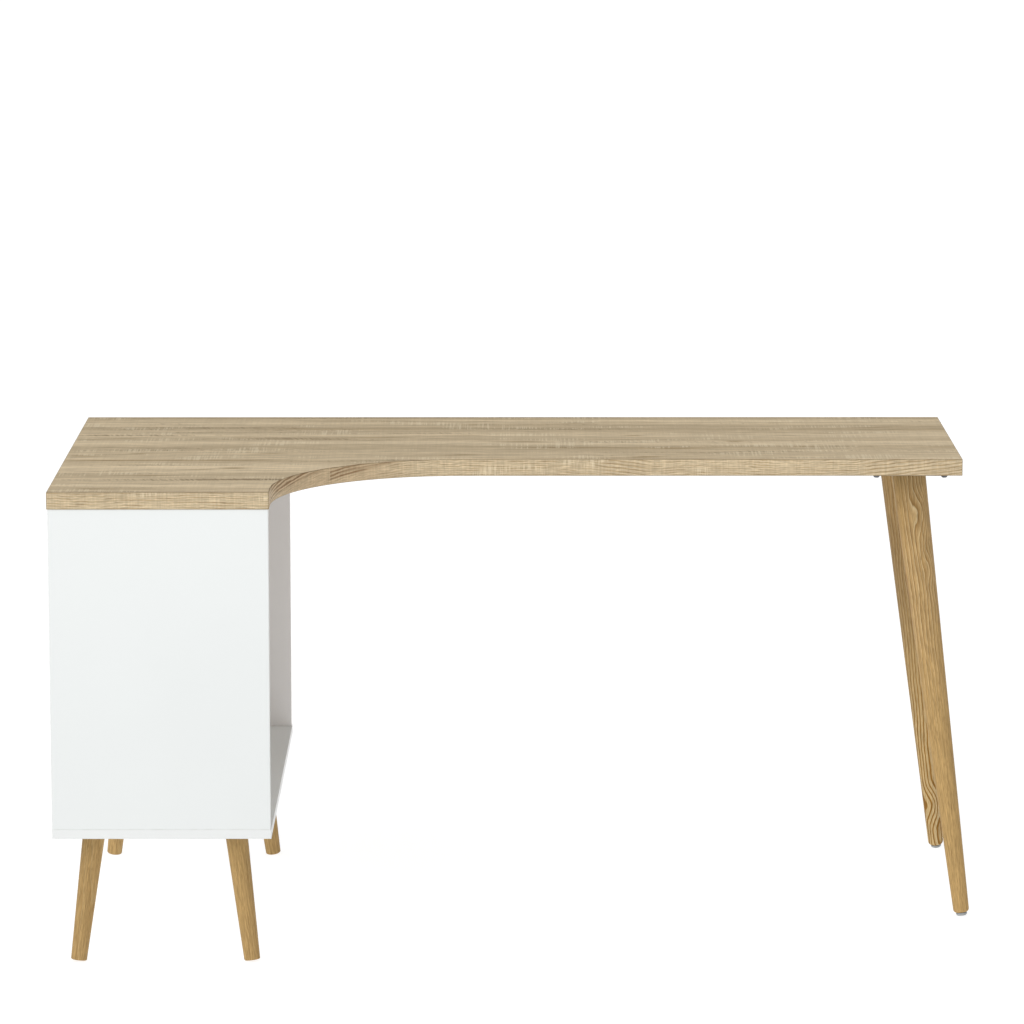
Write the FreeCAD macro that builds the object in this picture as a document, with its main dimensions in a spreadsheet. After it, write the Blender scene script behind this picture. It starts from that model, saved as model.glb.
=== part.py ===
import FreeCAD, Part
import Sketcher
import math
import os

from FreeCAD import Placement, Rotation, Vector

# Corner desk. Millimetres, +Z up. The origin is at floor level, midway between the desk's
# furthest left and right, and between its furthest front and rear. The front faces -Y.

DIMENSIONS = {
    # Worktop
    "Width": 1450,
    "Depth": 810,
    "Height": 755,
    "TopThickness": 27,
    "ReturnWidth": 345,
    "WingDepth": 475,
    "CutoutRadius": 300,
    "BandThickness": 1,
    "EasedEdge": 0.8,
    # Pedestal
    "BoardThickness": 15,
    "BoardEase": 0.5,
    "EndPanelWidth": 342,
    "BottomBoardWidth": 343.3,
    "PedestalSetback": 1.5,
    "FootHeight": 205,
    "BackThickness": 3,
    "BackInset": 8,
    "GrooveDepth": 6,
    "GrooveSlack": 0.5,
    # Cam fittings and dowels
    "CamInset": 55,
    "CamSpacing": 230,
    "CamFromEdge": 24,
    "CamDiameter": 15,
    "CamDepth": 12,
    "CamBoltThread": 5,
    "CamBoltBite": 11,
    "CamBoltShank": 4.4,
    "CamBoltHead": 6.5,
    "CamChannel": 8,
    "CapDiameter": 18,
    "CapThickness": 1,
    "DowelInset": 95,
    "DowelSpacing": 150,
    "DowelDiameter": 8,
    "DowelLength": 30,
    "DowelBite": 10,
    # Splay of every leg, measured in its own vertical plane at 45 degrees to the desk's sides
    "LegTilt": 10,
    # Pedestal legs
    "ShortLegInset": 60,
    "ShortLegTopRadius": 17.65,
    "ShortLegEndRadius": 12.6,
    "ShortLegEase": 2,
    "ShortPlateSize": 62,
    "ShortPlateThickness": 2,
    "ShortPlateCorner": 6,
    "ShortScrewSpacing": 46,
    "ShortBossRadius": 16,
    "ShortSeat": 5.6,
    "ScrewDiameter": 4,
    "ScrewLength": 14,
    "ScrewHead": 8,
    "ScrewHeadHeight": 2.4,
    "ScrewRecess": 4.4,
    "RecessShare": 0.65,
    # Tall legs
    "TallLegInset": 82,
    "TallLegTopRadius": 27.8,
    "TallLegEndRadius": 12.8,
    "TallLegEase": 6,
    "TallPlateSize": 134,
    "TallPlateThickness": 2.5,
    "TallPlateCorner": 12,
    "TallBoltSpacing": 110,
    "TallBossRadius": 25,
    "TallSeat": 8.2,
    "BoltDiameter": 6,
    "BoltLength": 16,
    "BoltHead": 10,
    "BoltHeadHeight": 4.6,
    "BoltRecess": 5,
    "InsertDiameter": 10,
    "InsertLength": 15,
    # Hanger bolts
    "HangerDiameter": 8,
    "HangerStart": 1.5,
    "ShortHangerLength": 42,
    "TallHangerLength": 60,
    # Levelling glides
    "GlideRadius": 9,
    "GlideRim": 1,
    "GlideDome": 4,
    "GlideGap": 0.3,
    "GlideStem": 8,
    "GlideStemLength": 32,
    "GlideClearance": 0.08,
    "GlideSocket": 12,
    "GlideSocketDepth": 36,
    "GlideInsertLength": 18,
    "GlideInsertRecess": 1,
}

UNDERSIDE = "(Dims.Height - Dims.TopThickness)"
PROJECTION = "(Dims.Depth - Dims.WingDepth)"
PANEL_HEIGHT = f"({UNDERSIDE} - Dims.FootHeight - Dims.BoardThickness)"
PEDESTAL_DEPTH = "(Dims.Depth - 2 * Dims.PedestalSetback)"
MID_BOARD = "(Dims.BoardThickness / 2)"
GROOVE_WIDTH = "(Dims.BackThickness + Dims.GrooveSlack)"
TILT = "(Dims.LegTilt * 1 deg)"
# Each leg leans equally along X and along Y, so each axis gets this much run per unit of height.
SPLAY = f"(tan({TILT}) / sqrt(2))"
# How far the foot of a tall leg stands out past the worktop's edges.
REACH = f"({UNDERSIDE} * {SPLAY} - Dims.TallLegInset + Dims.TallLegEndRadius)"
ORIGIN_X = f"((Dims.Width + {REACH}) / 2)"
ORIGIN_Y = f"((Dims.Depth + {REACH}) / 2)"
# The leg plates are centred on the board that is clear of the back panel.
SHORT_SHIFT = "(Dims.BackThickness / 2)"

# Cam fittings and dowels stand at these distances from an end panel's left edge.
CAM_X = ["Dims.CamInset", "(Dims.CamInset + Dims.CamSpacing)"]
DOWEL_X = ["Dims.DowelInset", "(Dims.DowelInset + Dims.DowelSpacing)"]

# The four diagonal directions that legs lean in, as quarter turns from rear right.
REAR_RIGHT, REAR_LEFT, FRONT_LEFT, FRONT_RIGHT = range(4)

doc = FreeCAD.newDocument("corner_desk")
dims = doc.addObject("Spreadsheet::Sheet", "Dims")
pieces = []


def fill_sheet():
    for row, (name, size) in enumerate(DIMENSIONS.items(), start=1):
        dims.set(f"A{row}", name)
        dims.set(f"B{row}", str(size))
        dims.setAlias(f"B{row}", name)
    doc.recompute()


def number(formula):
    """The present value of a formula, in millimetres or degrees."""
    found = dims.evalExpression(formula)
    return float(getattr(found, "Value", found))


def keep(piece, label):
    """Marks a piece as one that is written out, under this label."""
    piece.Label = label
    pieces.append(piece)
    return piece


def place(piece, left="0", front="0", height="0", turn=None):
    """Puts a piece at distances from the worktop's left edge, its front edge and the floor."""
    piece.Placement = Placement(Vector(), turn or Rotation())
    piece.setExpression("Placement.Base.x", f"{left} - {ORIGIN_X}")
    piece.setExpression("Placement.Base.y", f"{front} - {ORIGIN_Y}")
    piece.setExpression("Placement.Base.z", height)
    return piece


# ---- Sketch and feature helpers ----


def new_body(name):
    return doc.addObject("PartDesign::Body", name)


def new_sketch(body, name, role="XY_Plane", offset=None):
    """A sketch on one of the body's origin planes, moved along the plane's normal by offset."""
    sketch = body.newObject("Sketcher::SketchObject", name)
    plane = next(f for f in body.Origin.OriginFeatures if f.Role == role)
    sketch.AttachmentSupport = (plane, "")
    sketch.MapMode = "FlatFace"
    if offset:
        sketch.setExpression("AttachmentOffset.Base.z", offset)
    return sketch


def fix(sketch, kind, *where_and_formula):
    """Adds one dimension to a sketch and binds it to its formula."""
    *where, formula = where_and_formula
    index = sketch.addConstraint(Sketcher.Constraint(kind, *where, number(formula)))
    sketch.setExpression(f"Constraints[{index}]", formula)


def rectangle(sketch, left, low, width, height):
    """A rectangle from its lower left corner, all four sizes as formulas."""
    x, y = number(left), number(low)
    w, h = number(width), number(height)
    corners = [Vector(x, y, 0), Vector(x + w, y, 0), Vector(x + w, y + h, 0), Vector(x, y + h, 0)]
    first = sketch.GeometryCount
    for start, end in zip(corners, corners[1:] + corners[:1]):
        sketch.addGeometry(Part.LineSegment(start, end))
    for side in range(4):
        ends = (first + side, 2, first + (side + 1) % 4, 1)
        sketch.addConstraint(Sketcher.Constraint("Coincident", *ends))
        sketch.addConstraint(Sketcher.Constraint("Vertical" if side % 2 else "Horizontal", first + side))
    fix(sketch, "DistanceX", -1, 1, first, 1, left)
    fix(sketch, "DistanceY", -1, 1, first, 1, low)
    fix(sketch, "DistanceX", first, 1, first, 2, width)
    fix(sketch, "DistanceY", first + 1, 1, first + 1, 2, height)


def circle(sketch, across, up, diameter):
    index = sketch.GeometryCount
    centre = Vector(number(across), number(up), 0)
    sketch.addGeometry(Part.Circle(centre, Vector(0, 0, 1), number(diameter) / 2))
    fix(sketch, "DistanceX", -1, 1, index, 3, across)
    fix(sketch, "DistanceY", -1, 1, index, 3, up)
    fix(sketch, "Diameter", index, diameter)


def pad(body, sketch, length, reverse=False):
    feature = body.newObject("PartDesign::Pad", f"{sketch.Name}_pad")
    feature.Profile = sketch
    feature.Reversed = reverse
    feature.setExpression("Length", length)
    return feature


def pocket(body, sketch, depth, reverse=False):
    feature = body.newObject("PartDesign::Pocket", f"{sketch.Name}_pocket")
    feature.Profile = sketch
    feature.Reversed = reverse
    feature.setExpression("Length", depth)
    return feature


def drill(body, name, centres, diameter, depth, role="XY_Plane", offset=None, reverse=False):
    """Round blind holes of one size, from a plane of the body."""
    sketch = new_sketch(body, name, role, offset)
    for across, up in centres:
        circle(sketch, across, up, diameter)
    return pocket(body, sketch, depth, reverse)


def ease(body, feature, radius, wanted=None):
    """Rounds the feature's edges, or those that the test wanted picks."""
    doc.recompute()
    names = [
        f"Edge{i}"
        for i, edge in enumerate(feature.Shape.Edges, start=1)
        if wanted is None or wanted(edge)
    ]
    rounding = body.newObject("PartDesign::Fillet", f"{body.Name}_eased")
    rounding.Base = (feature, names)
    rounding.setExpression("Radius", radius)
    return rounding


def turned(name, profile, rounded=()):
    """A solid of revolution about Z. The profile lists (radius, height) formulas round a closed
    outline; rounded lists (radius, height, rounding) for each ring edge that is rounded over."""
    body = new_body(name)
    sketch = new_sketch(body, f"{name}_profile", "XZ_Plane")
    points = [Vector(number(r), number(z), 0) for r, z in profile]
    count = len(points)
    for i in range(count):
        sketch.addGeometry(Part.LineSegment(points[i], points[(i + 1) % count]))
    for i in range(count):
        sketch.addConstraint(Sketcher.Constraint("Coincident", i, 2, (i + 1) % count, 1))
        radius, height = profile[i]
        fix(sketch, "DistanceX", -1, 1, i, 1, radius)
        fix(sketch, "DistanceY", -1, 1, i, 1, height)
    solid = body.newObject("PartDesign::Revolution", f"{name}_turned")
    solid.Profile = sketch
    solid.ReferenceAxis = (sketch, ["V_Axis"])
    solid.Angle = 360
    for radius, height, rounding in rounded:
        ring, level = number(radius), number(height)
        solid = ease(body, solid, rounding, lambda edge: is_ring(edge, ring, level))
    return body


def is_ring(edge, radius, level):
    """True for a circular edge about Z of that radius, at that level."""
    box = edge.BoundBox
    flat_at_level = box.ZLength < 1e-4 and abs(box.ZMin - level) < 1e-4
    return edge.Closed and flat_at_level and abs(box.XMax - radius) < 0.01


def group(label, master, places):
    """Copies of one fastener, each at (left, front, height, turn), as one node of separate solids."""
    copies = []
    for i, (left, front, height, turn) in enumerate(places, start=1):
        copy = doc.addObject("App::Link", f"{label}_{i}")
        copy.LinkedObject = master
        place(copy, left, front, height, turn)
        copies.append(copy)
    gathered = doc.addObject("Part::Compound", label)
    gathered.Links = copies
    return keep(gathered, label)


# ---- Worktop ----


def worktop_outline(sketch, inset):
    """The L-shaped outline with its concave quarter circle, moved inwards by inset."""
    first = sketch.GeometryCount
    edge, width, depth = number(inset), number("Dims.Width"), number("Dims.Depth")
    neck, front = number("Dims.ReturnWidth"), number(PROJECTION)
    radius = number("Dims.CutoutRadius")
    centre = Vector(neck + radius, front - radius, 0)
    arc_low = Vector(neck - edge, centre.y, 0)
    arc_high = Vector(centre.x, front + edge, 0)
    points = [
        Vector(edge, edge, 0),
        Vector(neck - edge, edge, 0),
        arc_low,
        arc_high,
        Vector(width - edge, front + edge, 0),
        Vector(width - edge, depth - edge, 0),
        Vector(edge, depth - edge, 0),
    ]
    bottom, neck_side, cutout, wing_front, right, rear, left = range(first, first + 7)
    for i, point in enumerate(points):
        following = points[(i + 1) % len(points)]
        if first + i == cutout:
            hollow = Part.Circle(centre, Vector(0, 0, 1), radius + edge)
            sketch.addGeometry(Part.ArcOfCircle(hollow, math.pi / 2, math.pi))
        else:
            sketch.addGeometry(Part.LineSegment(point, following))
    for side in (bottom, wing_front, rear):
        sketch.addConstraint(Sketcher.Constraint("Horizontal", side))
    for side in (neck_side, right, left):
        sketch.addConstraint(Sketcher.Constraint("Vertical", side))
    corners = ((bottom, neck_side), (wing_front, right), (right, rear), (rear, left), (left, bottom))
    for here, after in corners:
        sketch.addConstraint(Sketcher.Constraint("Coincident", here, 2, after, 1))
    sketch.addConstraint(Sketcher.Constraint("Tangent", neck_side, 2, cutout, 2))
    sketch.addConstraint(Sketcher.Constraint("Tangent", cutout, 1, wing_front, 1))
    fix(sketch, "DistanceX", -1, 1, bottom, 1, inset)
    fix(sketch, "DistanceY", -1, 1, bottom, 1, inset)
    fix(sketch, "DistanceX", -1, 1, bottom, 2, f"Dims.ReturnWidth - {inset}")
    fix(sketch, "DistanceY", -1, 1, wing_front, 2, f"{PROJECTION} + {inset}")
    fix(sketch, "DistanceX", -1, 1, right, 2, f"Dims.Width - {inset}")
    fix(sketch, "DistanceY", -1, 1, right, 2, f"Dims.Depth - {inset}")
    fix(sketch, "Radius", cutout, f"Dims.CutoutRadius + {inset}")


def desktop_board():
    """The board itself, with the holes and the groove in its underside."""
    body = new_body("desktop_board")
    outline = new_sketch(body, "desktop_outline")
    worktop_outline(outline, "Dims.BandThickness")
    pad(body, outline, "Dims.TopThickness")
    doc.recompute()
    rows = [f"Dims.PedestalSetback + {MID_BOARD}", f"Dims.Depth - Dims.PedestalSetback - {MID_BOARD}"]
    cams = [(f"Dims.PedestalSetback + {x}", y) for x in CAM_X for y in rows]
    dowels = [(f"Dims.PedestalSetback + {x}", y) for x in DOWEL_X for y in rows]
    drill(body, "desktop_cam_holes", cams, "Dims.CamBoltThread", "Dims.CamBoltBite", reverse=True)
    drill(body, "desktop_dowel_holes", dowels, "Dims.DowelDiameter", "Dims.DowelBite", reverse=True)
    inserts = [
        spot
        for corner in (FRONT_RIGHT, REAR_RIGHT)
        for spot in plate_corners(leg_centre(corner, tall=True), "Dims.TallBoltSpacing")
    ]
    drill(
        body, "desktop_insert_holes", inserts, "Dims.InsertDiameter", "Dims.InsertLength + 1", reverse=True
    )
    groove = new_sketch(body, "desktop_groove")
    rectangle(
        groove,
        "Dims.PedestalSetback + Dims.BackInset",
        "Dims.PedestalSetback + Dims.BoardThickness - Dims.GrooveDepth",
        GROOVE_WIDTH,
        f"{PEDESTAL_DEPTH} - 2 * Dims.BoardThickness + 2 * Dims.GrooveDepth",
    )
    pocket(body, groove, "Dims.GrooveDepth", reverse=True)
    return keep(place(body, height=UNDERSIDE), "desktop_board")


def desktop_edge_band():
    """The band round the whole edge, eased on its outside."""
    body = new_body("desktop_edge_band")
    outside = new_sketch(body, "band_outside")
    worktop_outline(outside, "0")
    ease(body, pad(body, outside, "Dims.TopThickness"), "Dims.EasedEdge")
    inside = new_sketch(body, "band_inside")
    worktop_outline(inside, "Dims.BandThickness")
    pocket(body, inside, "Dims.TopThickness", reverse=True)
    return keep(place(body, height=UNDERSIDE), "desktop_edge_band")


# ---- Pedestal ----


def end_panel(label, face, outwards):
    """An end panel. Its inner face lies in the body's XZ plane; outwards is -1 for the front one
    and 1 for the rear one, and face is how far its inner face is from the worktop's front edge."""
    rear = outwards > 0
    body = new_body(label)
    outline = new_sketch(body, f"{label}_outline", "XZ_Plane")
    rectangle(outline, "0", "0", "Dims.EndPanelWidth", PANEL_HEIGHT)
    ease(body, pad(body, outline, "Dims.BoardThickness", reverse=rear), "Dims.BoardEase")
    groove = new_sketch(body, f"{label}_groove", "XZ_Plane")
    rectangle(groove, "Dims.BackInset", "0", GROOVE_WIDTH, PANEL_HEIGHT)
    pocket(body, groove, "Dims.GrooveDepth", reverse=not rear)
    levels = ["Dims.CamFromEdge", f"({PANEL_HEIGHT} - Dims.CamFromEdge)"]
    cams = [(x, z) for x in CAM_X for z in levels]
    drill(
        body, f"{label}_cam_bores", cams, "Dims.CamDiameter", "Dims.CamDepth",
        role="XZ_Plane", reverse=not rear,
    )
    middle = f"{outwards} * {MID_BOARD}"
    for end, height, upwards in (("bottom", None, True), ("top", PANEL_HEIGHT, False)):
        channels = [(x, middle) for x in CAM_X]
        drill(
            body, f"{label}_{end}_channels", channels, "Dims.CamChannel", "Dims.CamFromEdge",
            offset=height, reverse=upwards,
        )
        dowels = [(x, middle) for x in DOWEL_X]
        drill(
            body, f"{label}_{end}_dowel_holes", dowels, "Dims.DowelDiameter",
            "Dims.DowelLength - Dims.DowelBite", offset=height, reverse=upwards,
        )
    base = "Dims.FootHeight + Dims.BoardThickness"
    return keep(place(body, "Dims.PedestalSetback", face, base), label)


def bottom_board():
    """The board under both end panels, with the leg plates' pilot holes in its underside."""
    body = new_body("bottom_board")
    outline = new_sketch(body, "bottom_outline")
    rectangle(outline, "0", "0", "Dims.BottomBoardWidth", PEDESTAL_DEPTH)
    ease(body, pad(body, outline, "Dims.BoardThickness"), "Dims.BoardEase")
    rows = [MID_BOARD, f"({PEDESTAL_DEPTH} - {MID_BOARD})"]
    cams = [(x, y) for x in CAM_X for y in rows]
    dowels = [(x, y) for x in DOWEL_X for y in rows]
    top = "Dims.BoardThickness"
    drill(body, "bottom_cam_holes", cams, "Dims.CamBoltThread", "Dims.CamBoltBite", offset=top)
    drill(body, "bottom_dowel_holes", dowels, "Dims.DowelDiameter", "Dims.DowelBite", offset=top)
    screws = [
        (f"{x} - Dims.PedestalSetback", f"{y} - Dims.PedestalSetback")
        for corner in (FRONT_LEFT, FRONT_RIGHT, REAR_LEFT, REAR_RIGHT)
        for x, y in plate_corners(leg_centre(corner), "Dims.ShortScrewSpacing")
    ]
    bite = "Dims.ScrewLength - Dims.ShortPlateThickness"
    drill(body, "bottom_screw_holes", screws, "Dims.ScrewDiameter", bite, reverse=True)
    groove = new_sketch(body, "bottom_groove", offset=top)
    reach = "Dims.BoardThickness - Dims.GrooveDepth"
    rectangle(groove, "Dims.BackInset", reach, GROOVE_WIDTH, f"{PEDESTAL_DEPTH} - 2 * ({reach})")
    pocket(body, groove, "Dims.GrooveDepth")
    setback = "Dims.PedestalSetback"
    return keep(place(body, setback, setback, "Dims.FootHeight"), "bottom_board")


def pedestal_back_panel():
    """Thin hardboard, held on all four sides by grooves that leave it a little play."""
    body = new_body("pedestal_back_panel")
    outline = new_sketch(body, "back_outline")
    reach = "(Dims.GrooveDepth - Dims.GrooveSlack)"
    rectangle(
        outline, "0", "0", "Dims.BackThickness",
        f"{PEDESTAL_DEPTH} - 2 * Dims.BoardThickness + 2 * {reach}",
    )
    pad(body, outline, f"{PANEL_HEIGHT} + 2 * {reach}")
    left = "Dims.PedestalSetback + Dims.BackInset + Dims.GrooveSlack / 2"
    front = f"Dims.PedestalSetback + Dims.BoardThickness - {reach}"
    base = f"Dims.FootHeight + Dims.BoardThickness - {reach}"
    return keep(place(body, left, front, base), "pedestal_back_panel")


def cam_bolt():
    """Threaded end down into the board it bites, head up in the cam lock."""
    neck, head = "Dims.CamBoltShank / 2", "Dims.CamBoltHead / 2"
    return turned(
        "cam_bolt",
        [
            ("0", "-Dims.CamBoltBite"),
            ("Dims.CamBoltThread / 2", "-Dims.CamBoltBite"),
            ("Dims.CamBoltThread / 2", "0"),
            (head, "0"),
            (head, "1.5"),
            (neck, "1.5"),
            (neck, "Dims.CamFromEdge - 2"),
            (head, "Dims.CamFromEdge - 1"),
            (head, "Dims.CamFromEdge + 2"),
            ("0", "Dims.CamFromEdge + 2"),
        ],
    )


def cam_lock():
    """A round lock on the Z axis, its face up. A slot on its -X side takes the bolt's head, and a
    cross in its face takes the screwdriver."""
    body = new_body("cam_lock")
    outline = new_sketch(body, "cam_outline")
    circle(outline, "0", "0", "Dims.CamDiameter")
    ease(body, pad(body, outline, "Dims.CamDepth", reverse=True), "0.3")
    # The slot is open to the side, centred on the depth of the bolt and a little wider than its head.
    width = "(Dims.CamBoltHead + 0.8)"
    slot = new_sketch(body, "cam_slot", offset=f"{width} / 2 - {MID_BOARD}")
    rectangle(slot, "-Dims.CamDiameter", f"-{width} / 2", "Dims.CamDiameter + 4", width)
    pocket(body, slot, width)
    for name, across, along in (("cam_cross_a", "7", "1.4"), ("cam_cross_b", "1.4", "7")):
        bar = new_sketch(body, name)
        rectangle(bar, f"-{across} / 2", f"-{along} / 2", across, along)
        pocket(body, bar, "2")
    return body


def cam_cap():
    """A thin cover that is pushed onto the cam lock's face, its back at the Z origin."""
    return turned(
        "cam_cap",
        [
            ("0", "0"),
            ("Dims.CapDiameter / 2", "0"),
            ("Dims.CapDiameter / 2", "Dims.CapThickness / 2"),
            ("Dims.CapDiameter / 2 - 1", "Dims.CapThickness"),
            ("0", "Dims.CapThickness"),
        ],
    )


def dowel():
    """A wooden dowel with chamfered ends, its lower end at the Z origin."""
    return turned(
        "dowel",
        [
            ("0", "0"),
            ("Dims.DowelDiameter / 2 - 1", "0"),
            ("Dims.DowelDiameter / 2", "1"),
            ("Dims.DowelDiameter / 2", "Dims.DowelLength - 1"),
            ("Dims.DowelDiameter / 2 - 1", "Dims.DowelLength"),
            ("0", "Dims.DowelLength"),
        ],
    )


def pedestal_fittings():
    """The cam fittings and dowels that hold the end panels to the worktop and the bottom board."""
    bolt, lock, cap, peg = cam_bolt(), cam_lock(), cam_cap(), dowel()
    upside_down = Rotation(Vector(1, 0, 0), 180)
    floor = "Dims.FootHeight + Dims.BoardThickness"
    # For each end panel: the middle of its thickness, its inner face, and where that face looks.
    front = (f"Dims.PedestalSetback + {MID_BOARD}", "Dims.PedestalSetback + Dims.BoardThickness", 1)
    rear = (
        f"Dims.Depth - Dims.PedestalSetback - {MID_BOARD}",
        "Dims.Depth - Dims.PedestalSetback - Dims.BoardThickness",
        -1,
    )
    for end, level, up in (("top", UNDERSIDE, False), ("bottom", floor, True)):
        away = 1 if up else -1
        cam_level = f"{level} + {away} * Dims.CamFromEdge"
        bolts, locks, caps, pegs = [], [], [], []
        for middle, face, looks in (front, rear):
            # The lock's face looks into the pedestal and its slot looks at the panel's edge.
            along, outwards = Vector(0, 0, away), Vector(0, looks, 0)
            facing = Rotation(along, outwards.cross(along), outwards, "ZXY")
            for x in CAM_X:
                left = f"Dims.PedestalSetback + {x}"
                bolts.append((left, middle, level, None if up else upside_down))
                locks.append((left, face, cam_level, facing))
                caps.append((left, face, cam_level, facing))
            for x in DOWEL_X:
                left = f"Dims.PedestalSetback + {x}"
                low = f"{level} - Dims.DowelBite" if up else f"{level} + Dims.DowelBite - Dims.DowelLength"
                pegs.append((left, middle, low, None))
        group(f"{end}_cam_bolts", bolt, bolts)
        group(f"{end}_cam_locks", lock, locks)
        group(f"{end}_cam_caps", cap, caps)
        group(f"{end}_dowels", peg, pegs)


# ---- Legs ----
# Each leg's pieces are drawn in that leg's own frame. Its origin is where the leg's axis meets the
# underside that its plate is on, and the leg runs down -Z, leaning towards +X +Y where it is slanted.


def leg_centre(corner, tall=False):
    """A leg's origin, from the worktop's left edge and its front edge."""
    if tall:
        front = f"({PROJECTION} + Dims.TallLegInset)"
        rear = "(Dims.Depth - Dims.TallLegInset)"
        return "(Dims.Width - Dims.TallLegInset)", rear if corner == REAR_RIGHT else front
    left = f"(Dims.PedestalSetback + Dims.ShortLegInset + {SHORT_SHIFT})"
    right = f"(Dims.PedestalSetback + Dims.BottomBoardWidth - Dims.ShortLegInset + {SHORT_SHIFT})"
    front = "(Dims.PedestalSetback + Dims.ShortLegInset)"
    rear = "(Dims.Depth - Dims.PedestalSetback - Dims.ShortLegInset)"
    return (
        right if corner in (REAR_RIGHT, FRONT_RIGHT) else left,
        rear if corner in (REAR_RIGHT, REAR_LEFT) else front,
    )


def plate_corners(centre, spacing):
    """The four fastener positions round a leg plate's centre."""
    left, front = centre
    corners = ((-1, -1), (-1, 1), (1, -1), (1, 1))
    return [(f"{left} + {i} * {spacing} / 2", f"{front} + {j} * {spacing} / 2") for i, j in corners]


def facing_corner(corner):
    return Rotation(Vector(0, 0, 1), 90 * corner)


def leaning(corner):
    """The turn that leans a leg's own frame outwards over its corner."""
    return facing_corner(corner) * Rotation(Vector(1, -1, 0), number(TILT))


def end_height(radius, rounding):
    """How high the centre of a slanted round end stands when its rounded edge is on the floor."""
    return f"({rounding} * (1 - cos({TILT})) + ({radius} - {rounding}) * sin({TILT}))"


def slanted_disc(body, name, radius, rise):
    """A sketch of a circle across the leg's axis, a given way up the axis from the origin."""
    sketch = new_sketch(body, name)
    sketch.AttachmentOffset = Placement(Vector(), Rotation(Vector(1, -1, 0), number(TILT)))
    sketch.setExpression("AttachmentOffset.Base.x", f"-{rise} * sin({TILT}) / sqrt(2)")
    sketch.setExpression("AttachmentOffset.Base.y", f"-{rise} * sin({TILT}) / sqrt(2)")
    sketch.setExpression("AttachmentOffset.Base.z", f"{rise} * cos({TILT})")
    circle(sketch, "0", "0", f"2 * {radius}")
    return sketch


def leg_plate(label, corner, centre, height, size, spacing, hole):
    """A steel plate with a slanted boss on its underside, threaded along the leg's axis. size is
    the prefix of its dimensions in the sheet."""
    thickness, width = f"Dims.{size}PlateThickness", f"Dims.{size}PlateSize"
    boss, seat = f"Dims.{size}BossRadius", f"Dims.{size}Seat"
    body = new_body(label)
    outline = new_sketch(body, f"{label}_outline")
    rectangle(outline, f"-{width} / 2", f"-{width} / 2", width, width)
    flange = pad(body, outline, thickness, reverse=True)
    ease(body, flange, f"Dims.{size}PlateCorner", lambda edge: edge.BoundBox.ZLength > 1)
    # The boss starts above the plate, so that all of its slanted end is cut off level with it.
    rise = f"({boss} * tan({TILT}))"
    pad(body, slanted_disc(body, f"{label}_boss", boss, rise), f"{rise} + {seat}", reverse=True)
    level = new_sketch(body, f"{label}_level")
    rectangle(level, f"-{width} / 2", f"-{width} / 2", width, width)
    pocket(body, level, f"3 * {rise}", reverse=True)
    thread = slanted_disc(body, f"{label}_thread", "Dims.HangerDiameter / 2", rise)
    pocket(body, thread, f"{rise} + 2 * {seat}")
    drill(body, f"{label}_holes", plate_corners(("0", "0"), spacing), hole, f"2 * {thickness}")
    return keep(place(body, *centre, height, facing_corner(corner)), label)


def leg(label, corner, centre, height, size, length, hanger, socket=None):
    """A turned, tapered leg with the hanger bolt's hole in its top, and in a tall leg the glide's
    socket in its foot."""
    seat, foot = f"-Dims.{size}Seat", f"Dims.{size}LegEndRadius"
    thread, bottom = "Dims.HangerDiameter / 2", f"-{length}"
    hole_end = f"-(Dims.HangerStart + {hanger})"
    profile = [
        ("0", hole_end),
        (thread, hole_end),
        (thread, seat),
        (f"Dims.{size}LegTopRadius", seat),
        (foot, bottom),
    ]
    if socket:
        wall, top = "Dims.GlideSocket / 2", f"{bottom} + {socket}"
        profile += [(wall, bottom), (wall, top), ("0", top)]
    else:
        profile += [("0", bottom)]
    body = turned(label, profile, [(foot, bottom, f"Dims.{size}LegEase")])
    return keep(place(body, *centre, height, leaning(corner)), label)


def hanger_bolt(name, length):
    """A stud with a machine thread for the plate's boss and a wood thread for the leg."""
    radius, top, bottom = "Dims.HangerDiameter / 2", "-Dims.HangerStart", f"-Dims.HangerStart - {length}"
    return turned(
        name,
        [
            ("0", bottom),
            ("1.5", bottom),
            (radius, f"{bottom} + 6"),
            (radius, f"{top} - 1"),
            (f"{radius} - 1", top),
            ("0", top),
        ],
    )


def screw(name, shank, length, head, head_height, rounding, recess):
    """A screw that points up, the underside of its head at the Z origin. The cross-shaped
    recess for the screwdriver is as wide as recess says, and goes most of the way into the head."""
    body = turned(
        name,
        [
            ("0", f"-{head_height}"),
            (f"{head} / 2", f"-{head_height}"),
            (f"{head} / 2", "0"),
            (f"{shank} / 2", "0"),
            (f"{shank} / 2", f"{length} - 1"),
            (f"{shank} / 2 - 1", length),
            ("0", length),
        ],
        [(f"{head} / 2", f"-{head_height}", rounding)],
    )
    blade = f"({recess} / 4)"
    for arm, width, height in (("first", recess, blade), ("second", blade, recess)):
        sketch = new_sketch(body, f"{name}_{arm}_slot", offset=f"-{head_height}")
        rectangle(sketch, f"-{width} / 2", f"-{height} / 2", width, height)
        pocket(body, sketch, f"{head_height} * Dims.RecessShare", reverse=True)
    return body


def tube(name, inner, outer, low, high):
    return turned(name, [(inner, low), (outer, low), (outer, high), (inner, high)])


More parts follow.
